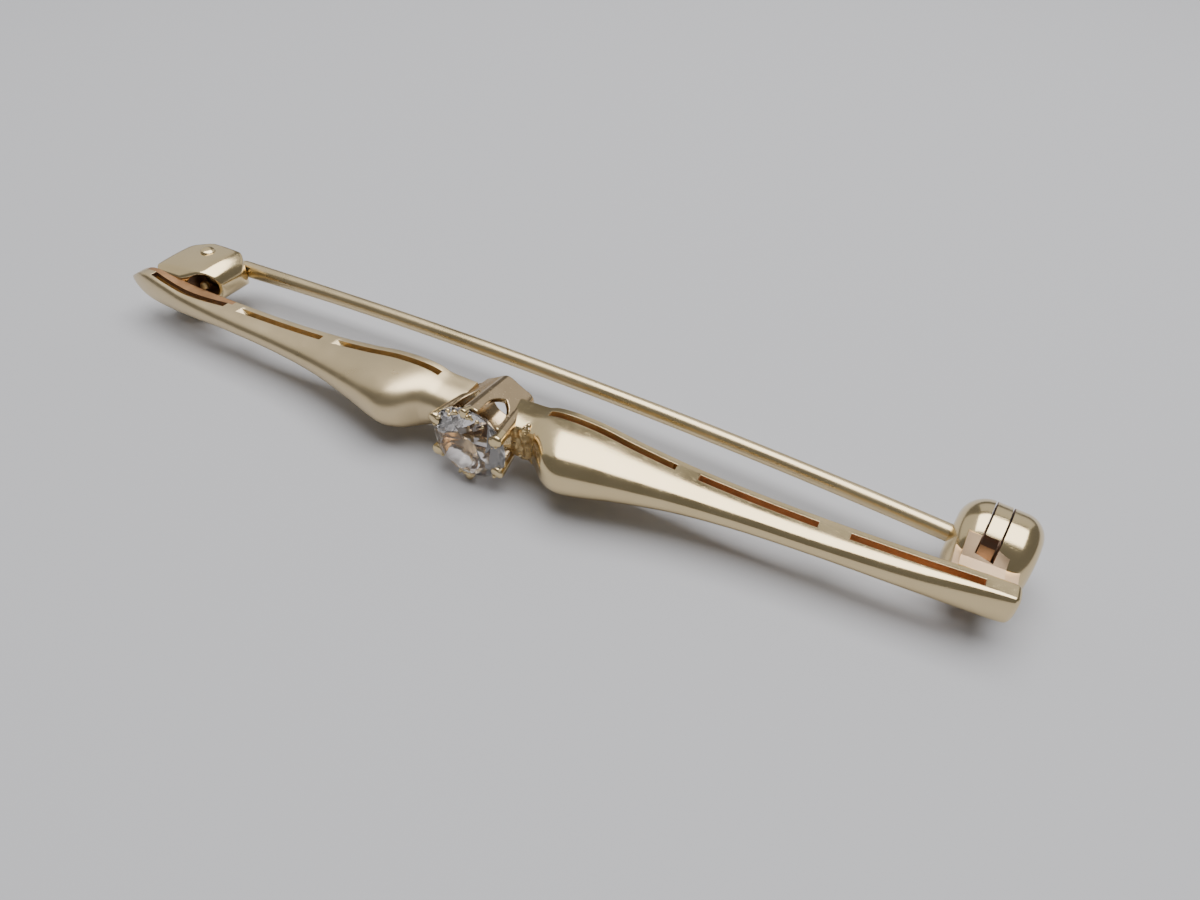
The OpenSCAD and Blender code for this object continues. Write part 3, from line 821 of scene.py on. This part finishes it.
hinge = {
    "rivetX": -25.8, "rivetY": 2.85, "rivetRadius": 0.35, "low": 1.8, "headRadius": 0.50, "headHeight": 0.2,
    "headLean": 0.16, "headSunk": 0.16, "footSunk": 0.3, "play": 0.02, "shankIn": 0.06,
    # Ends of the upper face, which slopes down to the tail
    "inner": (-22.95, 1.6), "tail": (-28.4, 1.32),
    # Rows of two coordinates and the corner's radius: seen from above, the front and the side
    "plan": [(-27.6, -0.12, 0.02), (-25.5, -0.12, 0.02), (-23.0, 1.15, 0.4), (-22.95, 4.3, 2.0),
             (-26.5, 4.38, 2.6), (-28.55, 2.5, 2.4), (-28.4, 0.8, 0.6)],
    "face": [(-28.4, -1.8, 0.9), (-25.2, -1.8, 0.8), (-23.1, -0.5, 1.15), (-23.0, 1.6, 1.25),
             (-28.4, 1.32, 0.9)],
    "side": [(-0.12, -1.8, 0.3), (4.3, -1.8, 2.0), (4.3, 1.7, 0.8), (0.9, 1.7, 1.0), (-0.12, 1.1, 0.05)],
    # The low dome of the upper face: its rise, middle and half widths
    "dome": 0.14, "domeY": 2.2, "domeHalf": (2.7, 2.2), "domeFrom": 0.4, "domeTop": 0.6, "domeEnd": 1.3,
    # The pocket that the eye turns in, the notch for the wire and the round mouth at the front
    "pinZ": -0.26, "pocket": 1.4, "pocketHalf": 0.72, "pocketOut": (1.9, 3.0), "notch": (-24.5, 4.55),
    "notchHalf": 0.56, "notchOut": (3.0, 2.3), "mouth": (-24.2, 0.38), "mouthRadius": 0.92, "mouthDeep": 0.6,
    # A drop of solder inside the mouth
    "drop": (-24.62, 0.97, 0.17), "dropRadius": 0.31,
    "grain": 0.05, "passes": 22, "lastGrain": 0.045, "lastPasses": 3, "sharp": 50,
    # How far the looks of the drop, pocket and mouth reach past them, and the lean of the mouth's faces
    "dropEdge": 0.03, "pocketEdge": (0.05, 0.04), "mouthEdge": 0.02, "mouthLean": -0.2,
}
(innerX, innerZ), (tailX, tailZ) = hinge["inner"], hinge["tail"]
slope = (innerZ - tailZ) / (innerX - tailX)
hinge["seat"] = tailZ + slope * (hinge["rivetX"] - tailX) + hinge["dome"] / 2


# Number of the look: 1, painted shade, in the pocket and the mouth; 2, painted light, on the drop
def hingeLook(corners, normal):
    h = hinge
    c = middleOf(corners)
    if (c - Vector(h["drop"])).length < h["dropRadius"] + h["dropEdge"]:
        return 2
    outward, upward = h["pocketEdge"]
    fromRivet = hypot(c.x - h["rivetX"], c.y - h["rivetY"])
    if abs(c.z - h["pinZ"]) < h["pocketHalf"] + upward and fromRivet < h["pocket"] + outward:
        return 1
    out = Vector((c.x - h["mouth"][0], 0, c.z - h["mouth"][1]))
    isRound = out.length < h["mouthRadius"] + h["mouthEdge"] and normal.dot(out) < h["mouthLean"]
    return int(c.y < h["rivetY"] and isRound)


def makeHinge():
    h = hinge
    # Three outlines crossed, each reaching past the others
    body = prism("hingeHousing", roundedOutline(h["side"]), -30, -22, onYZ)
    combine(body, prism("plan", roundedOutline(h["plan"]), -3, 3, onXY), "INTERSECT")
    combine(body, prism("face", roundedOutline(h["face"]), -6, 2, onXZ), "INTERSECT")
    polish(body, h["grain"], h["passes"])
    halfX, halfY = h["domeHalf"]
    for v in body.data.vertices:
        off = ((v.co.x - h["rivetX"]) / halfX) ** 2 + ((v.co.y - h["domeY"]) / halfY) ** 2
        upper = max(0.0, min(1.0, v.co.z - h["domeFrom"]))
        v.co.z += h["dome"] * (h["domeTop"] - min(off, h["domeEnd"])) * upper
    x, y, z, half = h["rivetX"], h["rivetY"], h["pinZ"], h["pocketHalf"]
    combine(body, rod("pocket", h["pocket"], -half, half, 64, move((x, y, z))))
    combine(body, block("back", (x - h["pocket"], y, z - half),
                        (x + h["pocketOut"][0], y + h["pocketOut"][1], z + half)))
    (left, back), half = h["notch"], h["notchHalf"]
    combine(body, block("notch", (left, back - half, z - half),
                        (left + h["notchOut"][0], back + h["notchOut"][1], z + half)))
    mouth = move((h["mouth"][0], y - h["mouthDeep"], h["mouth"][1])) @ onXZ
    combine(body, rod("mouth", h["mouthRadius"], 0, 3, 64, mouth))
    combine(body, ball("drop", h["dropRadius"], h["drop"], 10, 20), "UNION")
    polish(body, h["lastGrain"], h["lastPasses"])
    finishPiece(body, ["polished", "paintedShade", "paintedLight"], hingeLook)


makeHinge()


def makeRivet():
    h = hinge
    r, height, low, top = h["headRadius"], h["headHeight"], -h["low"] - h["play"], h["seat"] + h["shankIn"]
    dome = [(r * cos(w) ** 0.6, height * sin(w)) for w in (pi / 2 * k / 10 for k in range(10))]
    dome.append((0.0, height))
    at = move((h["rivetX"], h["rivetY"], 0))
    leaning = at @ move((0, 0, h["seat"] + h["play"])) @ Matrix.Rotation(h["headLean"], 4, "Y")
    under = at @ move((0, 0, low)) @ Matrix.Rotation(pi, 4, "X")
    head = lathe("head", [(0.0, -h["headSunk"]), (r, -h["headSunk"])] + dome, 48, leaning)
    foot = lathe("foot", [(0.0, -h["footSunk"]), (r, -h["footSunk"])] + dome, 48, under)
    rivet = rod("rivet", h["rivetRadius"], low, top, 48, at)
    combine(combine(rivet, head, "UNION"), foot, "UNION")
    finishPiece(rivet, ["polished"], sharp=h["sharp"])
    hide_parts("hinge_rivet")


makeRivet()


# The pin

pin = {
    "radius": 0.5, "sides": 40, "start": (-24.5, 4.55), "end": (25.5, 3.08), "z": -0.26,
    "bow": 0.97, "bowSteps": 120,
    # Straight length past the bow, then the taper to the point
    "straight": 1.6, "taper": 1.5, "tip": 0.12, "tipSteps": 24, "tipCurve": 1.2,
    # The wire is thicker by this part at the hinge, over the first steps of the bow
    "thickening": 0.14, "thickSteps": 24, "thickCurve": 1.5,
    # The flat eye, and the ball of its throat round the start of the wire
    "eyeRadius": 1.2, "eyeHeight": 1.3, "eyeEdge": 0.12, "throat": 0.56, "bore": 0.42,
    "grain": 0.05, "passes": 2,
}
startPoint, endPoint = Vector(pin["start"]), Vector(pin["end"])
chord = (endPoint - startPoint).length
tilt = atan2(endPoint.y - startPoint.y, endPoint.x - startPoint.x)
arcRadius = (chord ** 2 / 4 + pin["bow"] ** 2) / (2 * pin["bow"])
halfAngle = asin(chord / 2 / arcRadius)
endTurn = tilt - halfAngle


def wireTree():
    tree, given = startTree("drawnWire", [("Radius", "Float"), ("Sides", "Int"), ("Material", "Material")])
    line = flow(tree, "GeometryNodeMeshToCurve", [("Mesh", given.outputs["Geometry"])])
    width = flow(tree, "GeometryNodeInputNamedAttribute", [("Name", "width")])
    ring = flow(tree, "GeometryNodeCurvePrimitiveCircle",
                [("Resolution", given.outputs["Sides"]), ("Radius", given.outputs["Radius"])])
    tube = flow(tree, "GeometryNodeCurveToMesh",
                [("Curve", line), ("Profile Curve", ring), ("Scale", width), ("Fill Caps", True)])
    endTree(tree, tube, given.outputs["Material"])
    return tree


def makeWire():
    along = Vector((cos(endTurn), sin(endTurn)))
    middle = (startPoint + endPoint) / 2
    centre = middle + Vector((-sin(tilt), cos(tilt))) * (pin["bow"] - arcRadius)
    path, widths = [], []
    for k in range(pin["bowSteps"] + 1):
        w = pi / 2 + tilt + halfAngle - 2 * halfAngle * k / pin["bowSteps"]
        path.append(centre + arcRadius * Vector((cos(w), sin(w))))
        widths.append(1.0 + pin["thickening"] * max(0.0, 1 - k / pin["thickSteps"]) ** pin["thickCurve"])
    for k in range(1, pin["tipSteps"] + 1):
        s = (pin["straight"] + pin["taper"]) * k / pin["tipSteps"]
        path.append(endPoint + along * s)
        t = max(0.0, (s - pin["straight"]) / pin["taper"])
        widths.append(1 - (1 - pin["tip"] / pin["radius"]) * t ** pin["tipCurve"])
    steps = [(k, k + 1) for k in range(len(path) - 1)]
    wire = addMesh("pinWire", [(p.x, p.y, pin["z"]) for p in path], [], steps)
    wire.data.attributes.new("width", "FLOAT", "POINT").data.foreach_set("value", widths)
    grow(wire, wireTree(), {"Radius": pin["radius"], "Sides": pin["sides"], "Material": gold["drawn"]})
    finishPiece(wire, body="pin")
    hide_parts("pin_stem")


# The flat eye that turns on the rivet and the throat that joins it to the wire, in one skin
def makeEye():
    z, half, r, edge = pin["z"], pin["eyeHeight"] / 2, pin["eyeRadius"], pin["eyeEdge"]
    at = move((hinge["rivetX"], hinge["rivetY"], 0))
    throat = Vector((startPoint.x, startPoint.y, z))
    cloud = []
    for height, inset in ((z - half, edge), (z - half + edge, 0), (z + half - edge, 0), (z + half, edge)):
        cloud += [at @ Vector((x, y, height)) for x, y in circle(r - inset, 48)]
    for i in range(1, 12):
        for k in range(24):
            a, b = pi * i / 12, tau * k / 24
            way = Vector((sin(a) * cos(b), sin(a) * sin(b), cos(a)))
            cloud.append(throat + pin["throat"] * way)
    work = bmesh.new()
    for p in cloud:
        work.verts.new(p)
    bmesh.ops.convex_hull(work, input=work.verts)
    bmesh.ops.delete(work, geom=[v for v in work.verts if not v.link_faces], context="VERTS")
    mesh = bpy.data.meshes.new("pinEye")
    work.to_mesh(mesh)
    work.free()
    eye = addObject("pinEye", mesh)
    combine(eye, rod("bore", pin["bore"], -4, 4, 48, at))
    polish(eye, pin["grain"], pin["passes"])
    finishPiece(eye, ["drawn"], body="pin")


makeWire()
makeEye()


# The catch

catch = {
    "radius": 2.4, "length": 4.1, "x": 25.35, "y": 2.95, "z": -0.26, "nearRound": 1.4, "farRound": 1.2,
    # The ring and its bearing, the play beside them, and the channel of the pin with the wall at its end
    "ringAt": 1.85, "ringWidth": 0.72, "bearing": 1.16, "bearingLength": 0.45, "bearingPlay": 0.08,
    "bearingEnd": 0.1, "slit": 0.115, "grooveRoom": 0.2, "channel": 0.72, "endWall": 0.65,
    # The thumb notch of the ring, whose upper half is worn deeper and is painted dark as shade
    "notchAngle": 138, "notchWidth": 1.1, "notchFrom": 1.55, "notchDeep": 1.2, "wornTo": -0.04,
    # Section of the flat sided pedestal on y and z, its reach along the bar, and the foot under it
    "pedestal": [(-0.05, -1.1), (0.6, -1.15), (1.5, -2.0), (2.2, -1.9), (2.2, 1.4), (1.55, 1.68), (0.6, 0.94),
                 (-0.05, 0.9)],
    "pedestalX": (25.95, 28.05), "footX": (0.3, 3.35), "footY": (-0.05, 1.3), "footHalf": 0.8,
    "steps": 160, "roundSteps": 20, "sharp": 28, "touch": 0.01,
}
halfBarrel = catch["length"] / 2
barrelAxis = (move((catch["x"] + halfBarrel, catch["y"], catch["z"])) @ Matrix.Rotation(endTurn, 4, "Z")
              @ move((-halfBarrel, 0, 0)) @ onYZ)
toBarrel = barrelAxis.inverted()


def makeCatchHousing():
    c = catch
    r, length, near, far, w = c["radius"], c["length"], c["nearRound"], c["farRound"], c["channel"]
    quarter = [pi / 2 * k / c["roundSteps"] for k in range(c["roundSteps"] + 1)]
    profile = [(r - near + near * sin(t), near - near * cos(t)) for t in quarter]
    profile += [(r - far + far * cos(t), length - far + far * sin(t)) for t in quarter]
    barrel = lathe("catchHousing", [(0.0, 0.0), *profile, (0.0, length)], c["steps"], barrelAxis)
    combine(barrel, prism("pedestal", c["pedestal"], *c["pedestalX"], onYZ), "UNION")
    combine(barrel, block("foot", (c["x"] + c["footX"][0], c["footY"][0], -c["footHalf"]),
                          (c["x"] + c["footX"][1], c["footY"][1], c["footHalf"])), "UNION")
    # The channel for the pin, the bearing of the ring and its groove, bored in one
    half, touch = c["ringWidth"] / 2, c["touch"]
    low, high = c["ringAt"] - half - c["slit"], c["ringAt"] + half + c["slit"]
    deep, bore, end = r + c["grooveRoom"], c["bearing"] + c["bearingPlay"], length - c["endWall"]
    reach = half + c["bearingLength"] + c["bearingEnd"]
    first, last = c["ringAt"] - reach, c["ringAt"] + reach
    bored = [(0, -1), (w, -1), (w, first), (bore, first), (bore, low), (deep, low), (deep, high),
             (bore, high), (bore, last), (w, last), (w, end), (0, end)]
    combine(barrel, lathe("bored", bored, c["steps"], barrelAxis))
    # The mouth stops just short of the channel, so that no two faces lie in one plane
    combine(barrel, block("mouth", (0, -w, -1), (4, w, end - touch), barrelAxis))

    # Number of the look: 1, painted shade, in the groove and the channel; 2 on the flat sides of the pedestal
    # and the foot
    def housingLook(corners, normal):
        places = [toBarrel @ p for p in corners]
        if all(low - touch < p.z < high + touch or hypot(p.x, p.y) < w + touch for p in places):
            return 1
        if all(abs(p.z - c["footHalf"]) < touch for p in corners):
            return 2
        for (y, z), (nextY, nextZ) in zip(c["pedestal"], c["pedestal"][1:]):
            way = Vector((nextY - y, nextZ - z)).normalized()
            if all(abs((p.y - y) * way.y - (p.z - z) * way.x) < touch for p in corners):
                return 2
        return 0

    finishPiece(barrel, ["polished", "paintedShade", "blush"], housingLook, c["sharp"])


# The ring that closes over the pin
def makeCatchRing():
    c = catch
    r, w, bearing = c["radius"], c["channel"], c["bearing"]
    half, wide = c["ringWidth"] / 2, c["notchWidth"] / 2
    side = half + c["bearingLength"]
    place = barrelAxis @ move((0, 0, c["ringAt"]))
    notch = place @ Matrix.Rotation(radians(c["notchAngle"]), 4, "Z")
    toNotch, touch = notch.inverted(), 2 * c["touch"]
    profile = [(0, -side), (bearing, -side), (bearing, -half), (r, -half), (r, half), (bearing, half),
               (bearing, side), (0, side)]
    ring = lathe("catchRing", profile, c["steps"], place)
    combine(ring, rod("hole", w, -2, 2, 64, place))
    combine(ring, block("gap", (0, -w, -2), (4, w, 2), place))
    combine(ring, block("notch", (c["notchFrom"], -wide, -2), (4, wide, 2), notch))
    combine(ring, block("worn", (c["notchDeep"], -wide, -half - 0.1), (2, c["wornTo"], half + 0.1), notch))

    # Number of the look: 0 outside, 1 in the notch and the gap, 2, painted shade, on the sides and in the
    # worn part
    def ringLook(corners, normal):
        if all((p - barrelAxis @ Vector((0, 0, (toBarrel @ p).z))).length > r - touch for p in corners):
            return 0
        isSide = abs(normal.dot(barrelAxis.col[2].xyz)) > 0.9
        return 2 if isSide or all((toNotch @ p).x < c["notchFrom"] - touch for p in corners) else 1

    finishPiece(ring, ["polished", "inside", "paintedShade"], ringLook, c["sharp"], "ring")
    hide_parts("catch_ring")


makeCatchHousing()
makeCatchRing()


# Floor, light and camera

studio = {
    "floor": (0.48, 0.48, 0.50), "floorRough": 0.7, "floorHalf": 3, "world": 0.18,
    "key": {"at": (0.025, 0.07, 0.30), "towards": (0.025, 0.07, 0.0), "size": (0.37, 0.30), "power": 1.75},
    "left": {"at": (-0.34, 0.08, 0.24), "towards": (0, 0, 0), "size": (0.44, 0.44), "power": 0.31},
    "back": {"at": (0.05, 0.44, 0.24), "towards": (0, 0, 0), "size": (0.5, 0.3), "power": 0.24},
    # The camera: its lens in mm, its place in metres and its axes
    "lens": 24.588, "sensor": 36.0, "near": 0.001, "cameraAt": (0.0212099, -0.0317659, 0.0333064),
    "right": (0.88861, 0.45702, 0.03872), "up": (-0.33193, 0.58253, 0.74194),
    "behind": (0.31653, -0.67215, 0.66935),
}


def addLight(name, look):
    lamp = bpy.data.lights.new(name, "AREA")
    lamp.shape = "RECTANGLE"
    lamp.size, lamp.size_y = look["size"]
    lamp.energy = look["power"]
    obj = addObject(name, lamp)
    obj.location = look["at"]
    obj.rotation_euler = (Vector(look["towards"]) - Vector(look["at"])).to_track_quat("-Z", "Y").to_euler()


def addFloor():
    h = studio["floorHalf"]
    floor = addMesh("floor", [(-h, -h, 0), (h, -h, 0), (h, h, 0), (-h, h, 0)], [[0, 1, 2, 3]])
    look = {"Base Color": (*studio["floor"], 1), "Roughness": studio["floorRough"]}
    floor.data.materials.append(newMaterial("floor", look)[0])


def addCamera():
    camera = bpy.data.cameras.new("camera")
    camera.lens = studio["lens"]
    camera.sensor_width = studio["sensor"]
    camera.clip_start = studio["near"]
    view = addObject("camera", camera)
    turn = swap(Vector(studio["right"]), Vector(studio["up"]), Vector(studio["behind"]))
    view.matrix_world = move(studio["cameraAt"]) @ turn
    scene.camera = view


for name in ("key", "left", "back"):
    addLight(name + "Light", studio[name])
world = bpy.data.worlds.new("studio")
scene.world = world
world.use_nodes = True
sky = world.node_tree.nodes["Background"]
sky.inputs["Color"].default_value = (1, 1, 1, 1)
sky.inputs["Strength"].default_value = studio["world"]
addFloor()
addCamera()
print("floor, light and camera set")
